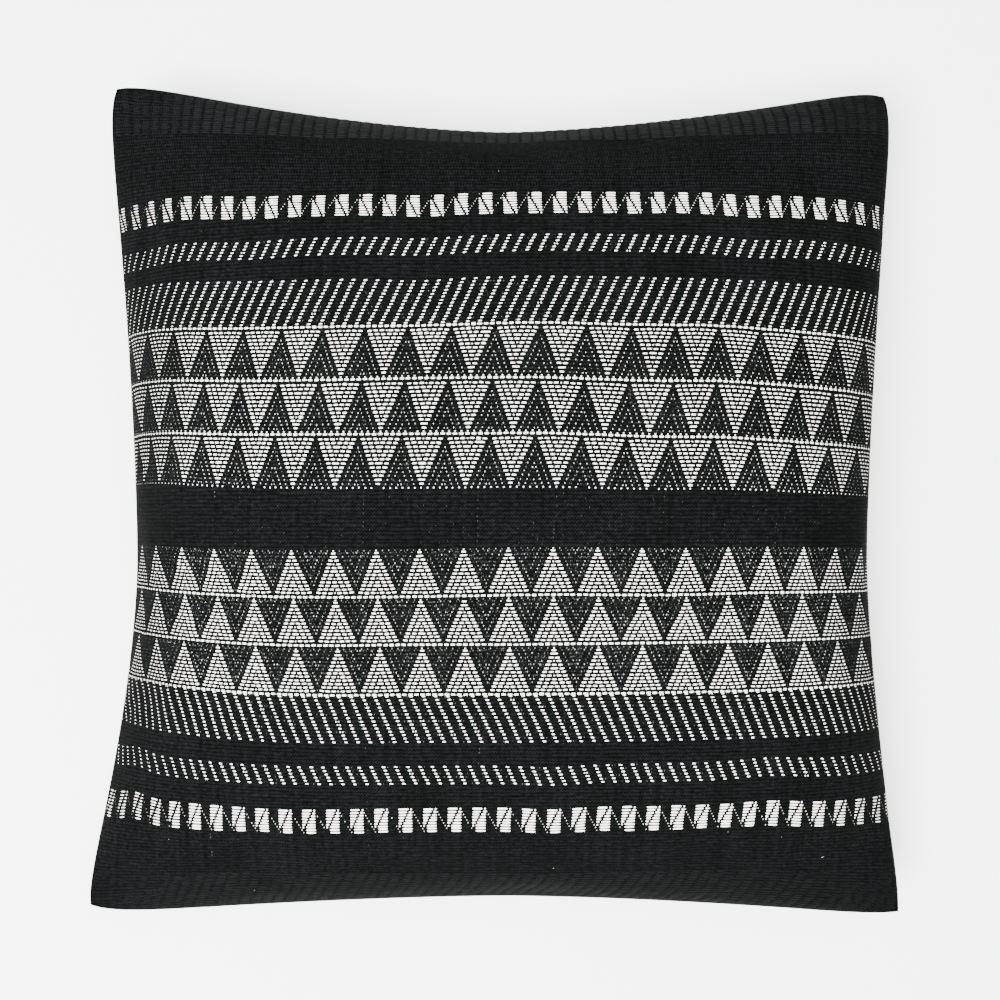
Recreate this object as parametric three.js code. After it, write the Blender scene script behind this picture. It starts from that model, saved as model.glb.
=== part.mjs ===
// A square scatter cushion in a hand-woven cotton cover, lying on its back.
// Millimetres, +Z up. The woven face looks up and its top edge lies toward +Y.
import * as THREE from 'three';

// Seam line, from the middle of the cushion to the middle of each side.
const HALF_WIDTH = { left: 225, right: 221 };
const HALF_HEIGHT = { top: 233, bottom: 233 };

// Each corner stands further out than its two sides, which the filling draws in.
// out: sideways, along: up or down, tip: how much its point is rounded off.
const CORNERS = {
  topLeft: { out: 20, along: 33, tip: 7 },
  topRight: { out: 18, along: 28, tip: 7 },
  bottomLeft: { out: 32, along: 11, tip: 6 },
  bottomRight: { out: 20, along: 12, tip: 3 },
};
const WAIST = -0.12; // the narrowest level, as a share of the half height
const SIDE_CURVE = 1.65;
const END_CURVE = 1.6;
const TIP_SHARPNESS = 14;

// Heights above the surface that the cushion lies on.
const SEAM_HEIGHT = 56;
const FACE_RISE = 78; // crown of the face above the seam
const BACK_DROP = 66; // crown of the back below the seam, before it is pressed flat
const CORNER_SAG = 5;
const FOOT_SOFTNESS = 3; // rounding where the back leaves the surface

// How the filling falls away toward each side: a higher power keeps the middle flat,
// a lower roundness makes the flank steeper.
const FULLNESS = {
  left: { power: 3.5, roundness: 0.88 },
  right: { power: 3.1, roundness: 0.62 },
  top: { power: 2.5, roundness: 0.7 },
  bottom: { power: 3.3, roundness: 0.85 },
};

// Puckers that run in from the seam. at: place along the side from -1 to 1,
// width and reach: across and inward, depth: how deep it lies at the seam.
const PUCKERS = [
  { side: 'left', at: 0.93, width: 16, reach: 60, depth: 3.0 },
  { side: 'left', at: 0.6, width: 20, reach: 70, depth: 3.5 },
  { side: 'left', at: 0.12, width: 17, reach: 55, depth: 3.0 },
  { side: 'left', at: -0.45, width: 20, reach: 50, depth: 2.5 },
  { side: 'right', at: 0.72, width: 18, reach: 50, depth: 2.5 },
  { side: 'right', at: 0.2, width: 20, reach: 45, depth: 2.0 },
  { side: 'right', at: -0.35, width: 18, reach: 50, depth: 2.5 },
  { side: 'right', at: -0.8, width: 18, reach: 55, depth: 3.0 },
  { side: 'top', at: -0.45, width: 22, reach: 50, depth: 2.5 },
  { side: 'top', at: 0.3, width: 24, reach: 45, depth: 2.5 },
  { side: 'bottom', at: -0.55, width: 22, reach: 45, depth: 2.5 },
  { side: 'bottom', at: 0.5, width: 22, reach: 50, depth: 2.5 },
];

const CELLS = 42; // grid cells along each side, closer together toward the seam
const BLACK_COTTON = 0x17191b;

const power = (value, exponent) => Math.abs(value) ** exponent;

// Share of a side's full corner offset at a place along it: nothing at the waist.
function sideOffset(t, topOffset, bottomOffset) {
  const above = t > WAIST;
  const run = above ? (t - WAIST) / (1 - WAIST) : (WAIST - t) / (1 + WAIST);
  return (above ? topOffset : bottomOffset) * power(run, SIDE_CURVE);
}

// Plan position of a point of the panel: s runs left to right, t bottom to top.
function planPoint(s, t) {
  const upper = s < 0 ? CORNERS.topLeft : CORNERS.topRight;
  const lower = s < 0 ? CORNERS.bottomLeft : CORNERS.bottomRight;
  const corner = t < 0 ? lower : upper;
  const halfWidth = (s < 0 ? HALF_WIDTH.left : HALF_WIDTH.right)
    + sideOffset(t, upper.out, lower.out);
  const halfHeight = (t < 0 ? HALF_HEIGHT.bottom : HALF_HEIGHT.top)
    + corner.along * power(s, END_CURVE);
  const rounding = corner.tip * power(s * t, TIP_SHARPNESS);
  return {
    x: s * halfWidth - Math.sign(s) * rounding,
    y: t * halfHeight - Math.sign(t) * rounding,
  };
}

// Share of the crown's height that is left at s, t.
function fill(s, t) {
  const across = s < 0 ? FULLNESS.left : FULLNESS.right;
  const along = t < 0 ? FULLNESS.bottom : FULLNESS.top;
  const acrossShare = Math.max(0, 1 - power(s, across.power)) ** across.roundness;
  const alongShare = Math.max(0, 1 - power(t, along.power)) ** along.roundness;
  return acrossShare * alongShare;
}

// Depth of all puckers at a point of the face.
function puckerDepth(s, t) {
  let depth = 0;
  for (const { side, at, width, reach, depth: full } of PUCKERS) {
    const upright = side === 'left' || side === 'right';
    const toSeam = { left: 1 + s, right: 1 - s, top: 1 - t, bottom: 1 + t }[side];
    const half = upright ? HALF_WIDTH.left : HALF_HEIGHT.top;
    const inward = toSeam * half;
    const across = ((upright ? t : s) - at) * half;
    depth += full * Math.exp(-((across / width) ** 2)) * Math.exp(-((inward / reach) ** 2))
      * Math.min(1, inward / width);
  }
  return depth;
}

const seamHeight = (s, t) => SEAM_HEIGHT - CORNER_SAG * power(s * t, 2);

function facePoint(s, t) {
  const { x, y } = planPoint(s, t);
  const z = seamHeight(s, t) + FACE_RISE * fill(s, t) - puckerDepth(s, t);
  return [x, y, z];
}

// The back hangs below the seam and is pressed flat where it meets the surface.
function backPoint(s, t) {
  const { x, y } = planPoint(s, t);
  const free = seamHeight(s, t) - BACK_DROP * fill(s, t);
  const pressed = free < -FOOT_SOFTNESS ? 0 : (free + FOOT_SOFTNESS) ** 2 / (4 * FOOT_SOFTNESS);
  return [x, y, free > FOOT_SOFTNESS ? free : pressed];
}

// Even steps of a quarter wave, so that rows crowd together at the seam.
const gridStep = (index) => Math.sin(((2 * index) / CELLS - 1) * (Math.PI / 2));

function cushionGeometry() {
  const points = [];
  const triangles = [];
  const row = CELLS + 1;
  const onSeam = (i, j) => i % CELLS === 0 || j % CELLS === 0;
  const face = [];
  const back = [];
  for (let i = 0; i < row; i += 1) {
    for (let j = 0; j < row; j += 1) {
      const s = gridStep(i);
      const t = gridStep(j);
      face.push(points.length);
      points.push(facePoint(s, t));
      if (onSeam(i, j)) {
        back.push(points.length - 1);
      } else {
        back.push(points.length);
        points.push(backPoint(s, t));
      }
    }
  }
  const addQuad = (a, b, c, d) => triangles.push(a, b, c, a, c, d);
  for (let i = 0; i < CELLS; i += 1) {
    for (let j = 0; j < CELLS; j += 1) {
      const [a, b, c, d] = [i * row + j, (i + 1) * row + j, (i + 1) * row + j + 1, i * row + j + 1];
      // The diagonal follows the quarter that the cell is in, so that no corner is folded.
      const straight = (i < CELLS / 2) === (j < CELLS / 2);
      if (straight) {
        addQuad(face[a], face[b], face[c], face[d]);
        addQuad(back[a], back[d], back[c], back[b]);
      } else {
        addQuad(face[b], face[c], face[d], face[a]);
        addQuad(back[b], back[a], back[d], back[c]);
      }
    }
  }
  const geometry = new THREE.BufferGeometry();
  geometry.setAttribute('position', new THREE.Float32BufferAttribute(points.flat(), 3));
  geometry.setIndex(triangles);
  geometry.computeBoundingBox();
  const centre = geometry.boundingBox.getCenter(new THREE.Vector3());
  geometry.translate(-centre.x, -centre.y, -geometry.boundingBox.min.z);
  geometry.computeVertexNormals();
  return geometry;
}

function makeCushion() {
  const cloth = new THREE.MeshStandardMaterial({
    color: BLACK_COTTON,
    roughness: 0.9,
    metalness: 0,
  });
  const mesh = new THREE.Mesh(cushionGeometry(), cloth);
  mesh.name = 'cushion';
  return mesh;
}

const cushion = new THREE.Group();
cushion.add(makeCushion());

export default cushion;
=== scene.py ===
import math

import bmesh
import bpy
import numpy as np
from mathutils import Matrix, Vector


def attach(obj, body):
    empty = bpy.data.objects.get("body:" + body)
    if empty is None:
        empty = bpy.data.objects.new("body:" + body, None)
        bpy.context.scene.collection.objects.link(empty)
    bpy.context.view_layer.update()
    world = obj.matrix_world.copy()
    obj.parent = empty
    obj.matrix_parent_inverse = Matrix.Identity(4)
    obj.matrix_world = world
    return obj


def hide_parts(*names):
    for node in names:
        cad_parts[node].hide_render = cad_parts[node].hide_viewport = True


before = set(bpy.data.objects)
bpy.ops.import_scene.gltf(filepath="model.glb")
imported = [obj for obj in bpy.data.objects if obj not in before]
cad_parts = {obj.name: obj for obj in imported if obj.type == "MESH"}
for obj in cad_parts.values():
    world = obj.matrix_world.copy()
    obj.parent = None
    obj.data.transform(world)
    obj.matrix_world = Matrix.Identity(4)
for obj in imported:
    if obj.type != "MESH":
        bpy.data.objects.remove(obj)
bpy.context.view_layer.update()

# Metres throughout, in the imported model's frame: the face looks up, its top edge is toward +Y.
MM = 0.001

# Seam line: half sizes at mid-side and how much further each corner stands out.
HALF_WIDTH_LEFT = 225 * MM
HALF_WIDTH_RIGHT = 221 * MM
HALF_HEIGHT = 233 * MM
CORNERS = {
    "top_left": {"out": 20 * MM, "along": 33 * MM, "tip": 7 * MM},
    "top_right": {"out": 18 * MM, "along": 28 * MM, "tip": 7 * MM},
    "bottom_left": {"out": 32 * MM, "along": 11 * MM, "tip": 6 * MM},
    "bottom_right": {"out": 20 * MM, "along": 12 * MM, "tip": 3 * MM},
}
WAIST = -0.12
SIDE_CURVE = 1.65
END_CURVE = 1.6
TIP_SHARPNESS = 14

SEAM_HEIGHT = 56 * MM
FACE_RISE = 78 * MM
BACK_DROP = 66 * MM
CORNER_SAG = 5 * MM
FOOT_SOFTNESS = 3 * MM
FULLNESS = {
    "left": {"power": 3.5, "roundness": 0.88},
    "right": {"power": 3.1, "roundness": 0.62},
    "top": {"power": 2.5, "roundness": 0.7},
    "bottom": {"power": 3.3, "roundness": 0.85},
}

# Puckers of the face that run in from the seam. at: place along the side from -1 to 1,
# width and reach: across and inward, depth: how deep it lies near the seam.
PUCKERS = [
    {"side": "left", "at": 0.93, "width": 16 * MM, "reach": 60 * MM, "depth": 3.0 * MM},
    {"side": "left", "at": 0.6, "width": 20 * MM, "reach": 70 * MM, "depth": 3.5 * MM},
    {"side": "left", "at": 0.12, "width": 17 * MM, "reach": 55 * MM, "depth": 3.0 * MM},
    {"side": "left", "at": -0.45, "width": 20 * MM, "reach": 50 * MM, "depth": 2.5 * MM},
    {"side": "right", "at": 0.72, "width": 18 * MM, "reach": 50 * MM, "depth": 2.5 * MM},
    {"side": "right", "at": 0.2, "width": 20 * MM, "reach": 45 * MM, "depth": 2.0 * MM},
    {"side": "right", "at": -0.35, "width": 18 * MM, "reach": 50 * MM, "depth": 2.5 * MM},
    {"side": "right", "at": -0.8, "width": 18 * MM, "reach": 55 * MM, "depth": 3.0 * MM},
    {"side": "top", "at": -0.45, "width": 22 * MM, "reach": 50 * MM, "depth": 2.5 * MM},
    {"side": "top", "at": 0.3, "width": 24 * MM, "reach": 45 * MM, "depth": 2.5 * MM},
    {"side": "bottom", "at": -0.55, "width": 22 * MM, "reach": 45 * MM, "depth": 2.5 * MM},
    {"side": "bottom", "at": 0.5, "width": 22 * MM, "reach": 50 * MM, "depth": 2.5 * MM},
]

# Cloth: the simulated grid and the finer grid that is drawn.
SIM_CELLS = 92
FINE = 2
SIM_FRAMES = 12
SWELL = 1.02  # filling, as a share of the starting volume
MOVE_CAP = 8 * MM

END = 0.866 * MM  # pitch of the warp ends
IMAGE_REACH = 560 * MM


def pick(condition, yes, no):
    return np.where(condition, yes, no)


def side_offset(t, top, bottom):
    """Share of the corner's offset at t along a side: nothing at the waist."""
    above = t > WAIST
    run = pick(above, (t - WAIST) / (1 - WAIST), (WAIST - t) / (1 + WAIST))
    return pick(above, top, bottom) * np.abs(run) ** SIDE_CURVE


def corner_value(s, t, key):
    top = pick(s < 0, CORNERS["top_left"][key], CORNERS["top_right"][key])
    bottom = pick(s < 0, CORNERS["bottom_left"][key], CORNERS["bottom_right"][key])
    return top, bottom, pick(t < 0, bottom, top)


def plan(s, t):
    """Plan position of a point of the panel: s from left to right, t from bottom to top."""
    top_out, bottom_out, _ = corner_value(s, t, "out")
    _, _, along = corner_value(s, t, "along")
    _, _, tip = corner_value(s, t, "tip")
    half_width = pick(s < 0, HALF_WIDTH_LEFT, HALF_WIDTH_RIGHT) + side_offset(t, top_out, bottom_out)
    half_height = HALF_HEIGHT + along * np.abs(s) ** END_CURVE
    rounding = tip * np.abs(s * t) ** TIP_SHARPNESS
    return s * half_width - np.sign(s) * rounding, t * half_height - np.sign(t) * rounding


def fill_share(s, t):
    """Share of the crown's height left at s, t."""
    share = 1.0
    for value, low, high in ((s, "left", "right"), (t, "bottom", "top")):
        power = pick(value < 0, FULLNESS[low]["power"], FULLNESS[high]["power"])
        roundness = pick(value < 0, FULLNESS[low]["roundness"], FULLNESS[high]["roundness"])
        share = share * np.clip(1 - np.abs(value) ** power, 0, 1) ** roundness
    return share


def seam_height(s, t):
    return SEAM_HEIGHT - CORNER_SAG * (s * t) ** 2


def centre_offset():
    """Moves the outline's box to the frame's origin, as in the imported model."""
    edge = np.linspace(-1, 1, 401)
    one = np.ones_like(edge)
    xs, ys = zip(*(plan(a, b) for a, b in ((edge, one), (edge, -one), (one, edge), (-one, edge))))
    xs, ys = np.concatenate(xs), np.concatenate(ys)
    return (xs.min() + xs.max()) / 2, (ys.min() + ys.max()) / 2


CENTRE = centre_offset()


def pucker_depth(s, t):
    """Depth of all puckers at a point of the face."""
    depth = 0 * s
    for pucker in PUCKERS:
        upright = pucker["side"] in ("left", "right")
        to_seam = {"left": 1 + s, "right": 1 - s, "top": 1 - t, "bottom": 1 + t}[pucker["side"]]
        half = HALF_WIDTH_LEFT if upright else HALF_HEIGHT
        inward = to_seam * half
        across = ((t if upright else s) - pucker["at"]) * half
        fade = np.exp(-(across / pucker["width"]) ** 2 - (inward / pucker["reach"]) ** 2)
        depth = depth + pucker["depth"] * fade * np.minimum(1, inward / pucker["width"])
    return depth


def face_point(s, t):
    x, y = plan(s, t)
    z = seam_height(s, t) + FACE_RISE * fill_share(s, t) - pucker_depth(s, t)
    return np.stack([x - CENTRE[0], y - CENTRE[1], z], -1)


def back_point(s, t):
    x, y = plan(s, t)
    free = seam_height(s, t) - BACK_DROP * fill_share(s, t)
    soft = np.clip(free + FOOT_SOFTNESS, 0, None) ** 2 / (4 * FOOT_SOFTNESS)
    z = pick(free > FOOT_SOFTNESS, free, soft)
    return np.stack([x - CENTRE[0], y - CENTRE[1], z], -1)


class Panel:
    """The flat cut panel: how far each place of the face lies from the middle, along the cloth."""

    STEPS = 400

    def __init__(self):
        self.line = np.linspace(-1, 1, self.STEPS + 1)
        s, t = np.meshgrid(self.line, self.line, indexing="ij")
        p = face_point(s, t)
        middle = self.STEPS // 2
        self.u = self._run(p, 0, middle)
        self.v = self._run(p, 1, middle)

    def _run(self, p, axis, middle):
        step = np.linalg.norm(np.diff(p, axis=axis), axis=-1)
        pad = [(1, 0), (0, 0)] if axis == 0 else [(0, 0), (1, 0)]
        total = np.pad(np.cumsum(step, axis=axis), pad)
        base = total[middle:middle + 1] if axis == 0 else total[:, middle:middle + 1]
        return total - base

    def look(self, table, s, t):
        return bilinear(table, (s + 1) / 2 * self.STEPS, (t + 1) / 2 * self.STEPS)

    def edges(self, which, other):
        """Ends of the cloth along u or v at a place on the other axis, as negative and positive."""
        at = (other + 1) / 2 * self.STEPS
        if which == "u":
            return bilinear(self.u, 0 * at, at), bilinear(self.u, 0 * at + self.STEPS, at)
        return bilinear(self.v, at, 0 * at), bilinear(self.v, at, 0 * at + self.STEPS)

    def solve(self, u, v):
        """s, t of the point that lies u across and v up the cloth."""
        s = u / HALF_WIDTH_RIGHT * 0.9
        t = v / HALF_HEIGHT * 0.9
        small = 1e-3
        for _ in range(12):
            s, t = np.clip(s, -1, 1), np.clip(t, -1, 1)
            ds = np.where(s > 0, -small, small)
            dt = np.where(t > 0, -small, small)
            slope_u = (self.look(self.u, s + ds, t) - self.look(self.u, s, t)) / ds
            slope_v = (self.look(self.v, s, t + dt) - self.look(self.v, s, t)) / dt
            s = s + (u - self.look(self.u, s, t)) / np.maximum(slope_u, 0.1)
            t = t + (v - self.look(self.v, s, t)) / np.maximum(slope_v, 0.1)
        return np.clip(s, -1, 1), np.clip(t, -1, 1)


def bilinear(table, i, j):
    """Value of a table at fractional indices."""
    i = np.clip(i, 0, table.shape[0] - 1.000001)
    j = np.clip(j, 0, table.shape[1] - 1.000001)
    i0, j0 = i.astype(int), j.astype(int)
    fi, fj = i - i0, j - j0
    if table.ndim == 3:
        fi, fj = fi[..., None], fj[..., None]
    low = table[i0, j0] * (1 - fj) + table[i0, j0 + 1] * fj
    high = table[i0 + 1, j0] * (1 - fj) + table[i0 + 1, j0 + 1] * fj
    return low * (1 - fi) + high * fi


PANEL = Panel()


def cloth_grid(cells):
    """The s, t and u, v of each point of an even grid over the cut panel."""
    line = np.linspace(-1, 1, cells + 1)
    a, b = np.meshgrid(line, line, indexing="ij")
    s, t = a.copy(), b.copy()
    for _ in range(6):
        left, right = PANEL.edges("u", t)
        bottom, top = PANEL.edges("v", s)
        u = pick(a < 0, -a * left, a * right)
        v = pick(b < 0, -b * bottom, b * top)
        s, t = PANEL.solve(u, v)
        s = pick(np.abs(a) == 1, a, s)
        t = pick(np.abs(b) == 1, b, t)
    return s, t, u, v


def panel_index(cells):
    """Vertex numbers of the face grid and of the back grid, which share the seam."""
    n = cells + 1
    face = np.arange(n * n).reshape(n, n)
    back = face.copy()
    inner = np.zeros((n, n), bool)
    inner[1:-1, 1:-1] = True
    back[inner] = n * n + np.arange(inner.sum())
    return face, back, inner


def panel_quads(face, back):
    f = np.stack([face[:-1, :-1], face[1:, :-1], face[1:, 1:], face[:-1, 1:]], -1).reshape(-1, 4)
    b = np.stack([back[:-1, :-1], back[:-1, 1:], back[1:, 1:], back[1:, :-1]], -1).reshape(-1, 4)
    return np.vstack([f, b])


def mesh_from(name, points, quads):
    mesh = bpy.data.meshes.new(name)
    mesh.vertices.add(len(points))
    mesh.vertices.foreach_set("co", points.astype(np.float32).ravel())
    mesh.loops.add(quads.size)
    mesh.loops.foreach_set("vertex_index", quads.astype(np.int32).ravel())
    mesh.polygons.add(len(quads))
    mesh.polygons.foreach_set("loop_start", np.arange(0, quads.size, quads.shape[1], dtype=np.int32))
    mesh.update(calc_edges=True)
    mesh.validate()
    mesh.polygons.foreach_set("use_smooth", np.ones(len(mesh.polygons), bool))
    return mesh


def add_object(name, mesh):
    obj = bpy.data.objects.new(name, mesh)
    bpy.context.scene.collection.objects.link(obj)
    return obj


def simulate(start, flat, quads, resting):
    """Lets the filled cover settle under its filling's pressure, with the cut panels as its rest size."""
    mesh = mesh_from("settling", start, quads)
    obj = add_object("settling", mesh)
    body = bmesh.new()
    body.from_mesh(mesh)
    volume = body.calc_volume()
    body.free()
    obj.shape_key_add(name="Basis")
    cut = obj.shape_key_add(name="cut")
    cut.data.foreach_set("co", flat.astype(np.float32).ravel())
    cut.value = 0
    held = obj.vertex_groups.new(name="held")
    held.add([int(i) for i in np.flatnonzero(resting)], 1.0, "REPLACE")
    cloth = obj.modifiers.new("cloth", "CLOTH")
    settings = cloth.settings
    settings.quality = 6
    settings.mass = 0.05
    settings.tension_stiffness = settings.compression_stiffness = 60
    settings.shear_stiffness = 20
    settings.bending_stiffness = 0.3
    settings.tension_damping = settings.compression_damping = settings.shear_damping = 10
    settings.bending_damping = 0.5
    settings.air_damping = 6
    settings.use_pressure = True
    settings.use_pressure_volume = True
    settings.target_volume = volume * SWELL
    settings.uniform_pressure_force = 0
    settings.pressure_factor = 150
    settings.rest_shape_key = cut
    settings.vertex_group_mass = "held"
    settings.effector_weights.gravity = 0
    cloth.point_cache.frame_start = 1
    cloth.point_cache.frame_end = SIM_FRAMES
    scene = bpy.context.scene
    for number in range(1, SIM_FRAMES + 1):
        scene.frame_set(number)
        settled = obj.evaluated_get(bpy.context.evaluated_depsgraph_get()).data
    points = np.empty(len(settled.vertices) * 3, np.float32)
    settled.vertices.foreach_get("co", points)
    scene.frame_set(1)
    bpy.data.objects.remove(obj)
    return points.reshape(-1, 3).astype(float)


def capped(start, moved):
    step = moved - start
    size = np.linalg.norm(step, axis=1, keepdims=True)
    limited = start + step * np.minimum(1, MOVE_CAP / np.maximum(size, 1e-9))
    limited[:, 2] = np.maximum(limited[:, 2], 0)
    return limited


def refine(grid, times):
    """The same grid with cubic points between its own."""
    for axis in (0, 1):
        g = np.moveaxis(grid, axis, 0)
        n = g.shape[0]
        before = np.concatenate([2 * g[:1] - g[1:2], g, 2 * g[-1:] - g[-2:-1]])
        rows = []
        for k in range(n - 1):
            p0, p1, p2, p3 = before[k:k + 4]
            for step in range(times):
                f = step / times
                rows.append(0.5 * (2 * p1 + (p2 - p0) * f + (2 * p0 - 5 * p1 + 4 * p2 - p3) * f ** 2
                                   + (3 * p1 - p0 - 3 * p2 + p3) * f ** 3))
        rows.append(g[-1])
        grid = np.moveaxis(np.array(rows), 0, axis)
    return grid


def settled_cloth():
    """Face and back grids of the settled cover, and the cloth place u, v of each grid point."""
    s, t, u, v = cloth_grid(SIM_CELLS)
    face, back, inner = panel_index(SIM_CELLS)
    start_face, start_back = face_point(s, t), back_point(s, t)
    start = np.vstack([start_face.reshape(-1, 3), start_back[inner]])
    flat_grid = np.stack([u, v, 0 * u], -1)
    flat = np.vstack([flat_grid.reshape(-1, 3), flat_grid[inner]])
    resting = start[:, 2] < 0.2 * MM
    points = capped(start, simulate(start, flat, panel_quads(face, back), resting))
    face_grid = refine(points[face], FINE)
    back_grid = refine(points[back], FINE)
    back_grid[..., 2] = np.maximum(back_grid[..., 2], 0)
    uv = refine(np.stack([u, v], -1), FINE)
    return face_grid, back_grid, uv


FACE, BACK, CLOTH_UV = settled_cloth()


def grid_normals(grid):
    across = np.gradient(grid, axis=0)
    along = np.gradient(grid, axis=1)
    normal = np.cross(across, along)
    return normal / np.maximum(np.linalg.norm(normal, axis=-1, keepdims=True), 1e-12)


FACE_NORMAL = grid_normals(FACE)


def cloth_place(u, v):
    """Fractional grid indices of the face at u, v on the cloth, and whether that is inside the seam."""
    cells = FACE.shape[0] - 1
    i = np.full(u.shape, cells / 2.0)
    j = np.full(u.shape, cells / 2.0)
    for _ in range(10):
        now = bilinear(CLOTH_UV, i, j)
        right = bilinear(CLOTH_UV, np.minimum(i + 1, cells), j)
        left = bilinear(CLOTH_UV, np.maximum(i - 1, 0), j)
        up = bilinear(CLOTH_UV, i, np.minimum(j + 1, cells))
        down = bilinear(CLOTH_UV, i, np.maximum(j - 1, 0))
        per_i = (right - left)[..., 0] / (np.minimum(i + 1, cells) - np.maximum(i - 1, 0))
        per_j = (up - down)[..., 1] / (np.minimum(j + 1, cells) - np.maximum(j - 1, 0))
        i = np.clip(i + (u - now[..., 0]) / per_i, 0, cells)
        j = np.clip(j + (v - now[..., 1]) / per_j, 0, cells)
    now = bilinear(CLOTH_UV, i, j)
    inside = (np.abs(now[..., 0] - u) < 0.2 * MM) & (np.abs(now[..., 1] - v) < 0.2 * MM)
    return i, j, inside


def add_maps(mesh, cloth, half):
    """The cloth place of each corner, in metres and as a share of an image, face and back side by side."""
    loops = np.empty(len(mesh.loops), np.int32)
    mesh.loops.foreach_get("vertex_index", loops)
    corner = cloth[loops]
    weave = mesh.uv_layers.new(name="weave")
    weave.data.foreach_set("uv", corner.astype(np.float32).ravel())
    share = corner / IMAGE_REACH + 0.5
    is_back = np.arange(len(loops)) >= len(loops) // 2 if half is None else half[loops] > 0
    packed = np.stack([share[:, 0] * 0.5 + 0.5 * is_back, share[:, 1]], -1)
    bake = mesh.uv_layers.new(name="OFBake")
    bake.data.foreach_set("uv", packed.astype(np.float32).ravel())
    mesh.uv_layers.active = weave


def body_object():
    """Both panels as one closed cover, with the cloth place as its weave coordinates."""
    cells = FACE.shape[0] - 1
    face, back, inner = panel_index(cells)
    quads = panel_quads(face, back)
    points = np.vstack([FACE.reshape(-1, 3), BACK[inner]])
    mesh = mesh_from("cushion_cover", points, quads)
    add_maps(mesh, np.vstack([CLOTH_UV.reshape(-1, 2), CLOTH_UV[inner]]), None)
    return add_object("cushion_cover", mesh)


# Weave charts. A float is (first end, ends covered), counted from the left of its repeat.
# Rows run across the cloth, and their places are measured up from the middle of the face.

CLOTH_ENDS = 600
TRIANGLE_REPEAT = 28
TRIANGLE_SHIFT = -8.46  # from the middle of the cloth to a repeat, in ends
TRIANGLE_MIDDLE = 13.5
DASH_REPEAT = 8
BLOCK_REPEAT = 16
BLOCK_ENDS = 9
BLOCK_ROWS = 9
UPPER_BLOCK_SHIFT = -4.1
LOWER_BLOCK_SHIFT = -2.95
ARCH = 0.45 * MM  # how far a row bends away from the base of its triangle at both ends

# Rows of triangles. base: place of the wide row, turn: -1 where the points hang down,
# then the steps from the base to the next row, row to row, and from the point to the dots.
TRIANGLE_BANDS = [
    {"base": 102.0 * MM, "turn": -1, "first": 2.55 * MM, "step": 2.18 * MM, "dots": 2.1 * MM},
    {"base": 72.1 * MM, "turn": -1, "first": 2.7 * MM, "step": 2.25 * MM, "dots": 2.0 * MM},
    {"base": 41.3 * MM, "turn": -1, "first": 2.6 * MM, "step": 2.22 * MM, "dots": 2.1 * MM},
    {"base": -45.9 * MM, "turn": 1, "first": 2.2 * MM, "step": 1.96 * MM, "dots": 1.3 * MM},
    {"base": -72.4 * MM, "turn": 1, "first": 2.2 * MM, "step": 1.94 * MM, "dots": 1.2 * MM},
    {"base": -99.9 * MM, "turn": 1, "first": 2.2 * MM, "step": 2.0 * MM, "dots": 1.2 * MM},
]

# Bands of slanting dashes. place: start of the top row in ends, lean: ends moved by each row,
# tilt: how much higher the right tip of a dash lies than its middle.
DASH_BANDS = [
    {"top": 155.4 * MM, "step": 1.96 * MM, "rows": 6, "place": 31.25, "lean": -1, "tilt": 0.14 * MM},
    {"top": 129.2 * MM, "step": 1.955 * MM, "rows": 14, "place": 25.6, "lean": -1, "tilt": 0.14 * MM},
    {"top": -100.9 * MM, "step": 1.99 * MM, "rows": 14, "place": 12.9, "lean": 1, "tilt": -0.06 * MM},
    {"top": -141.9 * MM, "step": 2.05 * MM, "rows": 6, "place": 27.1, "lean": 1, "tilt": -0.1 * MM},
]

# Ties that the weaver missed, which join two floats in every upper and lower triangle of one column.
MISSED_TIES = [
    {"column": -1, "level": 2, "tie": 21},
    {"column": -9, "level": 6, "tie": 13},
    {"column": 6, "level": 4, "tie": 17},
]

# Where the bands stray up or down the cloth. across and width: place of the stray and its
# half width, low and high: the part of the face that it covers, all in mm.
STRAYS = [
    {"across": -225, "width": 60, "low": 0, "high": 137, "lift": 4.9},
    {"across": -150, "width": 70, "low": 0, "high": 137, "lift": 0.6},
    {"across": -130, "width": 80, "low": 0, "high": 50, "lift": 1.0},
    {"across": 115, "width": 25, "low": 0, "high": 110, "lift": 0.7},
    {"across": 85, "width": 45, "low": 0, "high": 85, "lift": -1.1},
    {"across": 50, "width": 40, "low": 55, "high": 137, "lift": -0.4},
    {"across": 20, "width": 40, "low": 80, "high": 160, "lift": 0.9},
    {"across": -48, "width": 24, "low": 105, "high": 230, "lift": -1.6},
    {"across": -195, "width": 30, "low": 137, "high": 230, "lift": 1.9},
    {"across": -140, "width": 20, "low": 137, "high": 230, "lift": -0.8},
    {"across": 141, "width": 17, "low": 137, "high": 230, "lift": -1.5},
    {"across": 190, "width": 30, "low": 137, "high": 230, "lift": 0.9},
    {"across": -60, "width": 80, "low": 160, "high": 230, "lift": -0.3},
    {"across": -225, "width": 60, "low": -137, "high": 0, "lift": 1.0},
    {"across": 85, "width": 45, "low": -60, "high": 0, "lift": -1.1},
    {"across": 90, "width": 110, "low": -137, "high": -50, "lift": -0.7},
    {"across": -50, "width": 40, "low": -230, "high": -60, "lift": 0.6},
    {"across": 150, "width": 22, "low": -230, "high": -137, "lift": 2.1},
    {"across": 25, "width": 18, "low": -230, "high": -137, "lift": -1.5},
    {"across": -125, "width": 25, "low": -230, "high": -160, "lift": -0.9},
    {"across": -225, "width": 14, "low": -230, "high": -137, "lift": 2.8},
]
STRAY_EDGE = 4 * MM  # softness of the low and high edges

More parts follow.
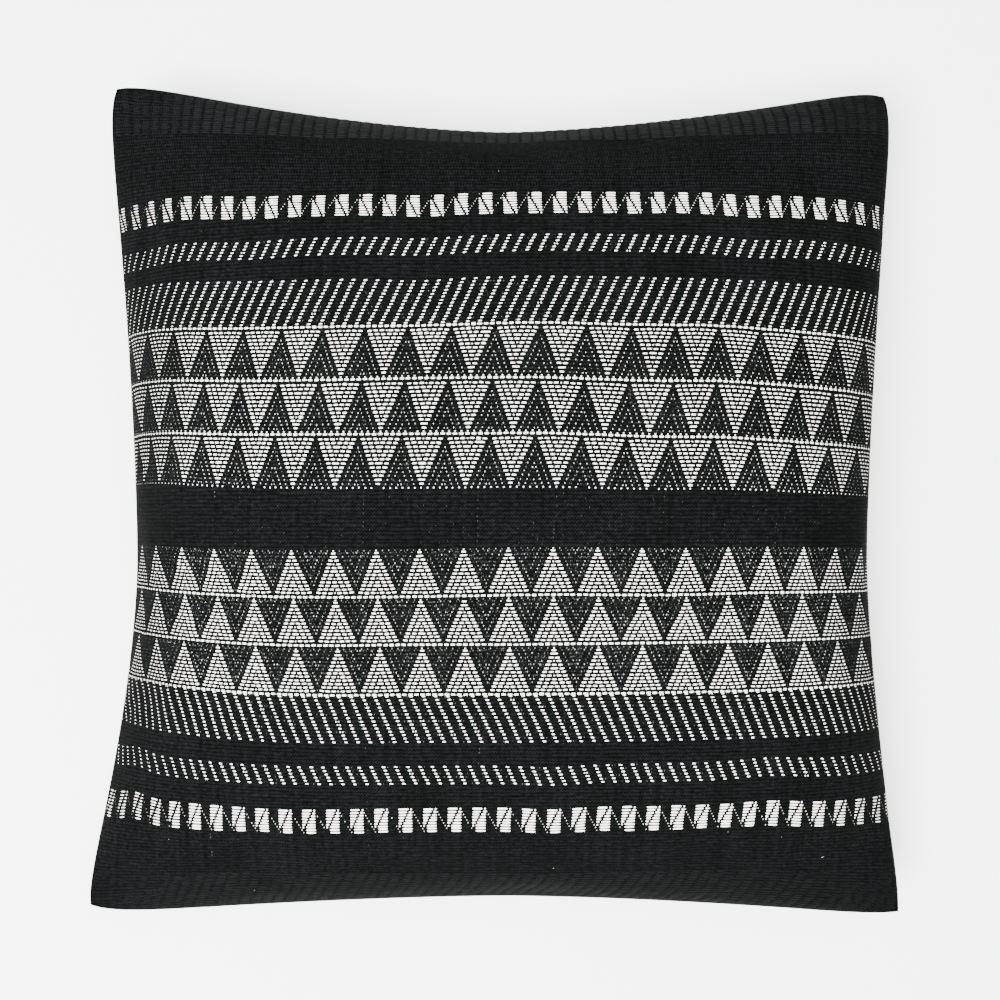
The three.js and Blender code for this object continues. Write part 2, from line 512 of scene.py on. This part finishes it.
# Places where the columns slip sideways. ends: how far to the right, the rest as above.
SLIPS = [
    {"across": -168, "width": 36, "low": -5, "high": 137, "ends": 1.7},
    {"across": 205, "width": 52, "low": 137, "high": 165, "ends": 2.2},
    {"across": -90, "width": 90, "low": -137, "high": -30, "ends": 0.6},
    {"across": -190, "width": 42, "low": -62, "high": -30, "ends": 2.2},
    {"across": 75, "width": 40, "low": -62, "high": -30, "ends": 0.6},
    {"across": 130, "width": 60, "low": -137, "high": -62, "ends": -0.7},
    {"across": -5, "width": 35, "low": -137, "high": -110, "ends": 0.7},
    {"across": -200, "width": 55, "low": -160, "high": -137, "ends": 1.9},
    {"across": 130, "width": 60, "low": -160, "high": -137, "ends": -0.7},
]


def bell(value, middle, width):
    return np.exp(-((value - middle) / width) ** 2)


def between(v, low, high):
    """About 1 where v is from low to high, with soft edges."""
    return 0.5 * (np.tanh((v - low) / STRAY_EDGE) - np.tanh((v - high) / STRAY_EDGE))


def band_wave(u, v):
    """How far the bands stray up the cloth: a shallow wave, a drooping right end and small strays."""
    high = 0.5 + 0.5 * np.tanh(v / (60 * MM))
    crest = 110 * MM - 70 * MM * high
    wave = 1.3 * MM * np.cos((u - crest) / (70 * MM))
    droop = bell(v, 45 * MM, 45 * MM)
    wave = wave - 3.4 * MM * droop * np.clip((u - 20 * MM) / (200 * MM), 0, 1)
    for stray in STRAYS:
        reach = bell(u, stray["across"] * MM, stray["width"] * MM)
        wave = wave + stray["lift"] * MM * reach * between(v, stray["low"] * MM, stray["high"] * MM)
    return wave


def warp_stray(place, v):
    """Ends that a column strays to the right: the cloth leans a little and lies slack in places."""
    u = place * END
    rise = np.minimum(v, 104 * MM) + 5 * MM
    lean = 28.5 * (rise + np.sqrt(rise ** 2 + (20 * MM) ** 2)) - 3.8
    lean = lean + 0.5 * (1 - np.tanh((v + 62 * MM) / (18 * MM)))
    left = 2.4 + 2.9 * bell(v, -85 * MM, 45 * MM) - 1.0 * between(v, -250 * MM, -165 * MM)
    right = 1.9 * between(v, -5 * MM, 165 * MM) + 1.3 * between(v, 165 * MM, 250 * MM)
    right = right + 0.6 * between(v, -250 * MM, -165 * MM)
    is_left = u < -10 * MM
    spread = pick(is_left, left, right) * (1 - bell(u, -10 * MM, pick(is_left, 80 * MM, 40 * MM)))
    main = between(v, -137 * MM, 137 * MM)
    upper = 2.0 * np.clip(u / (150 * MM), 0, 1) * np.clip((v - 30 * MM) / (70 * MM), 0, 1)
    upper = upper + 0.05 * np.maximum(0, place - 155) * np.clip((v - 10 * MM) / (80 * MM), 0, 1)
    lower = -0.05 * np.maximum(0, place - 140) * bell(v, -45 * MM, 30 * MM)
    outer = 0.085 * np.maximum(0, place - 185) * (1 - main)
    slack = 0.35 * np.maximum(0, -place - 255) * bell(v, 20 * MM, 30 * MM)
    slipped = 0
    for slip in SLIPS:
        reach = bell(u, slip["across"] * MM, slip["width"] * MM)
        slipped = slipped + slip["ends"] * reach * between(v, slip["low"] * MM, slip["high"] * MM)
    return lean + spread + upper * main + lower + outer + slack + slipped


def tapering_row(width):
    """Lengths of floats and gaps that fill a width of ends from both outer edges inward."""
    side = []
    rest = width
    length = 3
    while rest > 2 * length:
        side.append(length)
        rest -= 2 * length
        length = 4 - length
    middle = [3, 3] if rest == 6 else [rest] * (rest > 0)
    return side + middle + side[::-1]


def chart_floats(first, lengths, wanted):
    """Floats of a run of lengths. wanted: 0 if the run starts with a float, 1 if it starts with a gap."""
    floats = []
    for number, length in enumerate(lengths):
        if number % 2 == wanted:
            floats.append((first, length))
        first += length
    return floats


def triangle_row(level):
    """Floats of the light triangle and dots of the dark one beside it. Level 0 is the wide base."""
    if level == 0:
        return [(4 * k, 3) for k in range(TRIANGLE_REPEAT // 4)], []
    width = TRIANGLE_REPEAT - 1 - 2 * level
    light = chart_floats(level, tapering_row(width), 0)
    dark = chart_floats(level + width, tapering_row(TRIANGLE_REPEAT - width), 1)
    return light, dark


class Yarns:
    """Floats of one piece, gathered row by row before they are laid on the cloth."""

    COLUMNS = ("start", "ends", "up", "middle", "bend", "height", "tone", "tilt")

    def __init__(self, seed):
        self.random = np.random.default_rng(seed)
        self.parts = []

    def add(self, start, ends, up, height, middle=0.0, bend=0.0, tone=1.0, tilt=0.0):
        values = np.broadcast_arrays(start, ends, up, middle, bend, height, tone, tilt)
        self.parts.append(np.stack(values, -1).reshape(-1, len(self.COLUMNS)))

    def table(self):
        whole = np.concatenate(self.parts)
        return {name: whole[:, number] for number, name in enumerate(self.COLUMNS)}


def repeats(size, shift):
    """Starts of all repeats across the cloth, in ends from its middle."""
    count = int(CLOTH_ENDS / 2 / size) + 1
    return np.arange(-count, count + 1) * size + shift


def with_missed_ties(light, column, level):
    for slip in MISSED_TIES:
        if slip["column"] == column and slip["level"] == level:
            before = [f for f in light if f[0] + f[1] == slip["tie"]]
            after = [f for f in light if f[0] == slip["tie"] + 1]
            if before and after:
                joined = (before[0][0], before[0][1] + 1 + after[0][1])
                return [f for f in light if f not in before + after] + [joined]
    return light


def weave_triangles(white, specks, band):
    """One row of triangles: floats, dots and the pale weft that peeks through between them."""
    random = white.random
    lower = band["turn"] > 0
    for level in range(13):
        depth = 0 if level == 0 else band["first"] + band["step"] * (level - 1)
        up = band["base"] + band["turn"] * depth
        light, dark = triangle_row(level)
        bend = 0 if level == 0 else band["turn"] * ARCH
        height = 1.36 * MM if level == 0 else (0.54 if lower else 0.51) * band["step"]
        for number, start in enumerate(repeats(TRIANGLE_REPEAT, TRIANGLE_SHIFT)):
            column = number - (CLOTH_ENDS // 2 // TRIANGLE_REPEAT + 1)
            middle = start + TRIANGLE_MIDDLE
            for first, ends in with_missed_ties(light, column, level):
                plump = 1.3 if random.random() < 0.03 else 1
                size = height * plump * (0.8 if ends == 1 else 1)
                white.add(start + first, ends, up, size, middle, bend)
            for first, ends in dark:
                place = start + first
                side = middle if first < TRIANGLE_REPEAT * 0.97 else middle + TRIANGLE_REPEAT
                fade = np.clip((level - 3) / 8, 0, 1) * 0.55 if lower else 0.06
                weak = random.random() < fade + 0.08
                strong = random.uniform(0.15, 0.8) if lower else random.uniform(0.4, 1)
                tone = random.uniform(0.02, 0.15) if weak else strong
                specks.add(place + 0.08, ends * 0.82, up, 0.95 * MM * (0.85 if weak else 1), side, bend, tone)
            if level:
                dark_ends = np.arange(level + TRIANGLE_REPEAT - 2 * level, level + TRIANGLE_REPEAT - 1)
                share = 0.4 if lower else 0.26
                seen = dark_ends[random.random(len(dark_ends)) < share]
                for end in seen:
                    tone = (0.16 if lower else 0.1) * random.random() ** 2
                    tilt = 0.3 * MM if lower and random.random() < 0.5 else 0
                    specks.add(start + end + 0.25, 0.45, up + random.normal(0, 0.3) * MM, 1.0 * MM,
                               middle, bend, tone, tilt)
    depth = band["first"] + band["step"] * 11 + band["dots"]
    up = band["base"] + band["turn"] * depth
    for start in repeats(TRIANGLE_REPEAT, TRIANGLE_SHIFT):
        for k in range(TRIANGLE_REPEAT // 4):
            point = k == 3
            faint = lower and not point
            target = specks if faint else white
            tone = random.uniform(0.02, 0.3) if faint else 1
            if random.random() < 0.95:
                target.add(start + 4 * k + 1.05, 0.9, up, 0.95 * MM, tone=tone)


def weave_dashes(white, specks, band):
    random = white.random
    for row in range(band["rows"]):
        up = band["top"] - row * band["step"]
        starts = repeats(DASH_REPEAT, TRIANGLE_SHIFT + (band["place"] + row * band["lean"]) % DASH_REPEAT)
        whole = random.random(len(starts)) > 0.03
        length = random.normal(2.25, 0.12, len(starts))
        white.add(starts[whole], length[whole], up, 0.49 * band["step"], tilt=band["tilt"])
        broken = starts[~whole]
        white.add(broken - 0.1, 0.8, up, 0.5 * band["step"])
        white.add(broken + 1.6, 0.8, up, 0.5 * band["step"])
        for offset in (3.6, 5.4, 7.0):
            seen = starts[random.random(len(starts)) < 0.12]
            specks.add(seen + offset, 0.5, up, 1.0 * MM, tone=0.15 * random.random(len(seen)) ** 2)


def weave_blocks(white, top, bottom, shift, upright):
    """Small blocks of nearly touching floats, each with one slanting tie and a line of dots beside it."""
    random = white.random
    step = (top - bottom) / BLOCK_ROWS
    for row in range(BLOCK_ROWS):
        up = top - (row + 0.5) * step
        number = row if upright else BLOCK_ROWS - 1 - row
        starts = repeats(BLOCK_REPEAT, shift)
        left = BLOCK_ENDS - 2 - number
        height = 0.7 * step
        if left > 0:
            white.add(starts, left, up + random.normal(0, 0.06 * MM, len(starts)), height)
        first = max(left + 1, 2) if number < BLOCK_ROWS - 1 else 2
        white.add(starts + first, BLOCK_ENDS - first, up + random.normal(0, 0.06 * MM, len(starts)), height)
        if number:
            dots = starts[random.random(len(starts)) > 0.12]
            tone = random.uniform(0.25, 0.95, len(dots))
            white.add(dots + BLOCK_ENDS - 0.75 + number, 0.42, up, 0.44 * step, tone=tone)


def weave_borders(black):
    """Black floats on the black ground: straight columns at the top, slanting ones at the bottom."""
    random = black.random
    for row in range(17):
        starts = repeats(DASH_REPEAT, TRIANGLE_SHIFT + 0.5)
        up = 231 * MM + row * 1.85 * MM + random.normal(0, 0.12 * MM, len(starts))
        black.add(starts, 7, up, 1.5 * MM, tone=random.uniform(0.5, 1, len(starts)))
    for row in range(16):
        starts = repeats(DASH_REPEAT, TRIANGLE_SHIFT - 1.1 * row)
        up = -219 * MM - row * 2.3 * MM + random.normal(0, 0.12 * MM, len(starts))
        black.add(starts, 6.2, up, 1.75 * MM, tone=random.uniform(0.2, 0.45, len(starts)))


def scatter_specks(specks):
    """Pale weft that shows here and there through the plain ground, and in a few columns."""
    random = specks.random
    count = 500
    start = random.uniform(-290, 290, count)
    up = np.concatenate([random.uniform(-28, 16, count // 2), random.uniform(-210, 200, count - count // 2)])
    specks.add(start, 0.45, up * MM, 1.0 * MM, tone=0.05 * random.random(count) ** 2)
    for end, low, high, tone in SPECK_COLUMNS:
        up = np.arange(low, high, 2.2)
        up = up[random.random(len(up)) < 0.5] + random.normal(0, 0.3)
        specks.add(end + random.normal(0, 0.15, len(up)), 0.5, up * MM, 1.1 * MM,
                   tone=tone * 0.3 * random.random(len(up)) ** 2)


    for lint in LINT:
        specks.add(lint["across"] * MM / END - lint["ends"] / 2, lint["ends"], lint["up"] * MM,
                   0.45 * MM, tone=lint["tone"], tilt=lint["tilt"] * MM)


# Short hairs and knots caught in the cloth, in mm. tilt: rise over half the hair, ends: its length.
LINT = [
    {"across": -168.0, "up": -240.0, "ends": 2.0, "tilt": 0.9, "tone": 0.3},
    {"across": -146.9, "up": -234.1, "ends": 1.6, "tilt": -0.8, "tone": 0.25},
    {"across": -126.0, "up": -223.8, "ends": 1.2, "tilt": 1.2, "tone": 0.25},
    {"across": 186.3, "up": -207.6, "ends": 2.2, "tilt": 0.3, "tone": 0.5},
    {"across": 187.0, "up": -207.0, "ends": 0.9, "tilt": -1.0, "tone": 0.4},
    {"across": 128.7, "up": -188.7, "ends": 1.4, "tilt": 0.9, "tone": 0.2},
    {"across": -196.9, "up": -193.7, "ends": 1.8, "tilt": -0.6, "tone": 0.3},
    {"across": 29.6, "up": -213.1, "ends": 1.5, "tilt": 0.4, "tone": 0.35},
    {"across": -6.1, "up": 200.5, "ends": 1.6, "tilt": 0.8, "tone": 0.2},
    {"across": 160.9, "up": -193.5, "ends": 1.3, "tilt": -0.7, "tone": 0.2},
    {"across": 9.1, "up": 13.2, "ends": 1.6, "tilt": 2.0, "tone": 0.35},
    {"across": 8.2, "up": 39.2, "ends": 1.2, "tilt": 1.6, "tone": 0.3},
]

# Columns where the pale weft shows. first end, lowest and highest place in mm, tone.
SPECK_COLUMNS = [
    (-193, -20, 12, 0.5),
    (-196, -212, -186, 0.4),
    (-88, -225, 12, 0.18),
    (-15, -140, 12, 0.2),
    (33, -28, 12, 0.25),
    (96, -160, -105, 0.2),
    (178, -60, 12, 0.22),
]


# How a float lies on the cloth.
YARN_RISE = 0.32 * MM
YARN_SINK = 0.2 * MM
ACROSS = np.array([-1.0, -0.6, 0.6, 1.0])
ACROSS_LIFT = np.array([0.0, 0.9, 0.9, 0.0])
ACROSS_SHADE = np.array([0.5, 1.0, 1.0, 0.5])  # painted shade where the yarn sinks beside its row
LONG_YARN = np.array([-1.0, -0.8, -0.35, 0.35, 0.8, 1.0])
SHORT_YARN = np.array([-1.0, 0.0, 1.0])
TIP_SHADE = 0.3  # painted shade at the tips, where they dive under the ends beside them
FLANK_START = 180 * MM  # past this the floats grow shorter and thinner toward the side seams, and darker with painted shade
FLANK_WIDTH = 45 * MM


def visible_ends(ends):
    """Length of a float's arch, in ends: it dives beside the ends that tie it."""
    return ends + 0.12 + 0.1 * np.clip((ends - 1) / 2, 0, 1)


def lay_floats(name, yarns, along=LONG_YARN, wander=0.05):
    """Joined mesh of all floats: arched yarns whose ends dive between the ends of the ground."""
    random = yarns.random
    table = yarns.table()
    count = len(table["start"])
    half = visible_ends(table["ends"]) / 2 * (1 + random.normal(0, 0.025, count))
    centre = table["start"] + table["ends"] / 2 + random.normal(0, 0.07, count)
    stations = len(along)
    taper = np.sqrt(np.clip(1 - 0.8 * np.abs(along) ** 6, 0, 1))
    arch = 1 - np.abs(along) ** 5
    flank = np.clip((np.abs(centre) * END - FLANK_START) / FLANK_WIDTH, 0, 1)
    half = half * (1 - 0.22 * flank)
    width = table["height"] / 2 * (1 + random.normal(0, 0.06, count)) * (1 - 0.22 * flank)
    place = centre[:, None] + half[:, None] * along
    from_middle = np.abs(place - table["middle"][:, None]) / (TRIANGLE_REPEAT / 2)
    bend = table["bend"][:, None] * np.minimum(from_middle, 1) ** 3
    lean = (random.normal(0, wander, count) * MM + table["tilt"])[:, None] * along
    up = table["up"][:, None] + random.normal(0, 0.06, count)[:, None] * MM + bend + lean
    u = (place + warp_stray(place, up)) * END
    up = up + band_wave(u, up)
    u = u[:, :, None] + 0 * ACROSS
    v = up[:, :, None] + (width[:, None] * taper)[:, :, None] * ACROSS
    plump = np.clip(table["height"] / (1.5 * MM), 0.4, 1.1) * (1 - 0.5 * flank)
    crown = (YARN_RISE * plump + YARN_SINK)[:, None, None]
    rise = crown * arch[:, None] * ACROSS_LIFT - YARN_SINK
    i, j, inside = cloth_place(u, v)
    whole = inside.all(axis=(1, 2))
    # Painted shade: floats and specks grow darker toward the side seams.
    tone = (table["tone"] * (1 - pick(table["ends"] < 1, 0.85, 0.3) * flank))[whole]
    i, j, rise = i[whole], j[whole], rise[whole]
    points = bilinear(FACE, i, j) + bilinear(FACE_NORMAL, i, j) * rise[..., None]
    count = len(points)
    index = np.arange(count * stations * len(ACROSS)).reshape(count, stations, len(ACROSS))
    quads = np.stack([index[:, :-1, :-1], index[:, 1:, :-1], index[:, 1:, 1:], index[:, :-1, 1:]], -1)
    mesh = mesh_from(name, points.reshape(-1, 3), quads.reshape(-1, 4))
    cloth = np.stack([u[whole], v[whole]], -1).reshape(-1, 2)
    add_maps(mesh, cloth, 0 * cloth[:, 0])
    tone_and_shade = mesh.attributes.new("tone_and_shade", "FLOAT", "POINT")
    # Painted shade: each float darkens toward its tips and edges, times its own tone, kept as a point
    # attribute.
    float_shade = (1 - (1 - TIP_SHADE) * np.abs(along) ** 10)[:, None] * ACROSS_SHADE
    shade = np.clip(tone[:, None, None] * float_shade, 0, 1)
    tone_and_shade.data.foreach_set("value", shade.astype(np.float32).ravel())
    return add_object(name, mesh)


def build_weave():
    upper, lower, edging, slants, specks = (Yarns(seed) for seed in (11, 12, 13, 14, 15))
    for band in TRIANGLE_BANDS:
        weave_triangles(lower if band["turn"] > 0 else upper, specks, band)
    for band in DASH_BANDS:
        weave_dashes(slants, specks, band)
    weave_blocks(slants, 185.0 * MM, 170.2 * MM, UPPER_BLOCK_SHIFT, False)
    weave_blocks(slants, -168.0 * MM, -185.6 * MM, LOWER_BLOCK_SHIFT, True)
    weave_borders(edging)
    scatter_specks(specks)
    white, black, pale = white_cotton(), black_yarn(), peeking_weft()
    pieces = [
        (lay_floats("upper_triangles", upper), white),
        (lay_floats("lower_triangles", lower), white),
        (lay_floats("dashes_and_blocks", slants), white),
        (lay_floats("black_borders", edging), black),
        (lay_floats("pale_specks", specks, SHORT_YARN), pale),
    ]
    for piece, look in pieces:
        piece.data.materials.append(look)
        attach(piece, "root")


# Materials

class Look:
    """A material whose nodes are added by short calls."""

    def __init__(self, name):
        self.material = bpy.data.materials.new(name)
        self.material.use_nodes = True
        self.tree = self.material.node_tree
        self.shader = self.tree.nodes["Principled BSDF"]

    def join(self, value, socket):
        if isinstance(value, bpy.types.NodeSocket):
            self.tree.links.new(value, socket)
        else:
            socket.default_value = value

    def math(self, operation, first, second=0.0, third=0.0):
        node = self.tree.nodes.new("ShaderNodeMath")
        node.operation = operation
        for value, socket in zip((first, second, third), node.inputs):
            self.join(value, socket)
        return node.outputs[0]

    def ease(self, value, low, high):
        node = self.tree.nodes.new("ShaderNodeMapRange")
        node.interpolation_type = "SMOOTHSTEP"
        for socket, given in (("Value", value), ("From Min", low), ("From Max", high)):
            self.join(given, node.inputs[socket])
        return node.outputs[0]

    def cloth_place(self):
        """The place on the cloth, across and up, in metres."""
        place = self.tree.nodes.new("ShaderNodeUVMap")
        place.uv_map = "weave"
        parts = self.tree.nodes.new("ShaderNodeSeparateXYZ")
        self.tree.links.new(place.outputs[0], parts.inputs[0])
        return place.outputs[0], parts.outputs[0], parts.outputs[1]

    def tone_and_shade(self):
        """How pale a yarn is at each point, from 0 to 1: its own tone times painted shade at float tips and
        edges and near the side seams.
        """
        tone = self.tree.nodes.new("ShaderNodeAttribute")
        tone.attribute_name = "tone_and_shade"
        return tone.outputs["Fac"]

    def noise(self, vector, scale, detail=2.0):
        node = self.tree.nodes.new("ShaderNodeTexNoise")
        self.join(vector, node.inputs["Vector"])
        node.inputs["Scale"].default_value = scale
        node.inputs["Detail"].default_value = detail
        return node.outputs[0]

    def stretched(self, vector, across, up):
        node = self.tree.nodes.new("ShaderNodeMapping")
        self.join(vector, node.inputs["Vector"])
        node.inputs["Scale"].default_value = (across, up, 1)
        return node.outputs[0]

    def blend(self, share, dark, light):
        node = self.tree.nodes.new("ShaderNodeMix")
        node.data_type = "RGBA"
        self.join(share, node.inputs["Factor"])
        self.join(dark, node.inputs["A"])
        self.join(light, node.inputs["B"])
        return node.outputs["Result"]

    def bump(self, height, distance, strength=1.0):
        node = self.tree.nodes.new("ShaderNodeBump")
        node.inputs["Strength"].default_value = strength
        node.inputs["Distance"].default_value = distance
        self.join(height, node.inputs["Height"])
        self.tree.links.new(node.outputs[0], self.shader.inputs["Normal"])


PICK_PAIR = 2.2 * MM  # one visible row of the plain ground


def black_cotton():
    """Plain-woven ground: rows of small warp beads with painted shade between the rows, and slubs."""
    look = Look("black_cotton")
    place, across, up = look.cloth_place()
    slub = look.noise(look.stretched(place, 90, 420), 1.0)
    shift = look.math("MULTIPLY", look.math("SUBTRACT", slub, 0.5), 2.2 * MM)
    level = look.math("ADD", up, shift)
    ends = look.math("MULTIPLY", across, math.pi / END)
    rows = look.math("MULTIPLY", level, math.pi / PICK_PAIR)
    rib = look.math("ABSOLUTE", look.math("SINE", rows))
    rib = look.math("POWER", rib, 0.55)
    halves = look.math("SINE", look.math("MULTIPLY", rows, 2.0))
    check = look.math("MULTIPLY", look.math("SINE", ends), halves)
    bead = look.math("MULTIPLY_ADD", check, 0.5, 0.5)
    long_rows = look.math("SINE", look.math("MULTIPLY", rows, 0.5))
    tall = look.math("MULTIPLY_ADD", look.math("MULTIPLY", look.math("SINE", ends), long_rows), 0.5, 0.5)
    upper_plain = look.ease(up, 186 * MM, 190 * MM)
    tall_share = look.math("MULTIPLY", upper_plain, look.math("SUBTRACT", tall, bead))
    bead = look.math("ADD", bead, tall_share)
    ground = look.math("MULTIPLY", rib, look.math("MULTIPLY_ADD", bead, 0.75, 0.25))
    fibre = look.noise(look.stretched(place, 1500, 2600), 1.0, 3.0)
    worn = look.noise(place, 26.0, 3.0)
    height = look.math("MULTIPLY_ADD", fibre, 0.35, ground)
    uneven = look.noise(look.stretched(place, 380, 450), 1.0, 2.0)
    streak = look.noise(look.stretched(place, 330, 9), 1.0, 2.0)
    # Colour follows the rows' relief: painted shade in the grooves between rows and beads, times random tone
    # of fibres, uneven yarn, streaks and worn patches.
    light = look.math("MULTIPLY", ground, look.math("MULTIPLY_ADD", fibre, 0.9, 0.3))
    light = look.math("MULTIPLY", light, look.math("MULTIPLY_ADD", uneven, 2.6, -0.3))
    light = look.math("MULTIPLY", light, look.math("MULTIPLY_ADD", streak, 1.2, 0.4))
    light = look.math("MULTIPLY", light, look.math("MULTIPLY_ADD", worn, 0.9, 0.55))
    colour = look.blend(light, (0.0002, 0.00024, 0.00024, 1), (0.0058, 0.0066, 0.0066, 1))
    look.join(colour, look.shader.inputs["Base Color"])
    look.join(look.math("MULTIPLY_ADD", worn, 0.1, 0.85), look.shader.inputs["Roughness"])
    look.shader.inputs["Specular IOR Level"].default_value = 0.01
    look.bump(height, 0.35 * MM)
    return look.material


def black_yarn():
    """Soft black yarn of the border floats."""
    look = Look("black_yarn")
    place, _, _ = look.cloth_place()
    fibre = look.noise(look.stretched(place, 700, 3600), 1.0, 3.0)
    # Fibre times the yarn's own tone and painted shade at the tips and edges of each float.
    share = look.math("MULTIPLY", fibre, look.tone_and_shade())
    colour = look.blend(share, (0.0008, 0.0009, 0.0009, 1), (0.009, 0.0101, 0.0103, 1))
    look.join(colour, look.shader.inputs["Base Color"])
    look.shader.inputs["Roughness"].default_value = 0.8
    look.shader.inputs["Specular IOR Level"].default_value = 0.03
    look.bump(fibre, 0.2 * MM)
    return look.material


def white_cotton():
    """Off-white yarn: soft strands along each float, a little uneven in tone."""
    look = Look("white_cotton")
    place, _, _ = look.cloth_place()
    strand = look.noise(look.stretched(place, 500, 3800), 1.0, 3.0)
    worn = look.noise(place, 60.0, 2.0)
    share = look.math("MULTIPLY_ADD", strand, 0.6, look.math("MULTIPLY", worn, 0.5))
    colour = look.blend(share, (0.78, 0.75, 0.68, 1), (0.95, 0.945, 0.905, 1))
    # Blends toward dark with painted shade at the tips and edges of each float and near the side seams, times
    # each float's own tone.
    look.join(look.blend(look.tone_and_shade(), (0.06, 0.058, 0.05, 1), colour), look.shader.inputs["Base Color"])
    look.shader.inputs["Roughness"].default_value = 0.9
    look.shader.inputs["Specular IOR Level"].default_value = 0.15
    look.bump(strand, 0.18 * MM)
    return look.material


def peeking_weft():
    """Pale weft half hidden between the black ends, from grey to nearly white, with painted shade at its tips
    and edges and near the side seams.
    """
    look = Look("peeking_weft")
    colour = look.blend(look.tone_and_shade(), (0.008, 0.0085, 0.0085, 1), (0.92, 0.91, 0.86, 1))
    look.join(colour, look.shader.inputs["Base Color"])
    look.shader.inputs["Roughness"].default_value = 0.9
    look.shader.inputs["Specular IOR Level"].default_value = 0.1
    return look.material


# Camera, floor and light

SENSOR_WIDTH = 36
CAMERA_DISTANCE = 765 * MM
CAMERA_TILT = math.radians(1.0)
FRAME_SPAN = 605 * MM
AIM_ACROSS = -3.2 * MM
AIM_UP = 7.2 * MM


def make_camera():
    data = bpy.data.cameras.new("camera")
    camera = bpy.data.objects.new("camera", data)
    bpy.context.scene.collection.objects.link(camera)
    data.sensor_width = SENSOR_WIDTH
    data.lens = SENSOR_WIDTH * CAMERA_DISTANCE / FRAME_SPAN
    aim = Vector((AIM_ACROSS - CENTRE[0], AIM_UP - CENTRE[1], SEAM_HEIGHT))
    away = Vector((0, -math.sin(CAMERA_TILT), math.cos(CAMERA_TILT)))
    camera.location = aim + away * CAMERA_DISTANCE
    camera.rotation_euler = (CAMERA_TILT, 0, 0)
    bpy.context.scene.camera = camera


def area_light(name, place, aim, size, power):
    data = bpy.data.lights.new(name, "AREA")
    data.shape = "DISK"
    data.size = size
    data.energy = power
    light = bpy.data.objects.new(name, data)
    light.location = place
    light.rotation_euler = (Vector(aim) - Vector(place)).to_track_quat("-Z", "Y").to_euler()
    bpy.context.scene.collection.objects.link(light)


def make_stage():
    bpy.ops.mesh.primitive_plane_add(size=8, location=(0, 0, -0.0005))
    floor = bpy.context.object
    floor.name = "floor"
    look = Look("floor")
    look.shader.inputs["Base Color"].default_value = (0.88, 0.88, 0.87, 1)
    look.shader.inputs["Roughness"].default_value = 0.9
    floor.data.materials.append(look.material)
    world = bpy.data.worlds.new("studio")
    bpy.context.scene.world = world
    world.use_nodes = True
    world.node_tree.nodes["Background"].inputs["Color"].default_value = (1, 1, 1, 1)
    world.node_tree.nodes["Background"].inputs["Strength"].default_value = 1.0
    area_light("key", (-0.65, -0.55, 2.1), (0, 0, 0.05), 1.5, 330)
    area_light("fill", (0.3, 0.5, 2.6), (0, 0, 0.05), 1.8, 90)


make_camera()
make_stage()
cover = body_object()
cover.data.materials.append(black_cotton())
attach(cover, "root")
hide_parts("cushion")
build_weave()
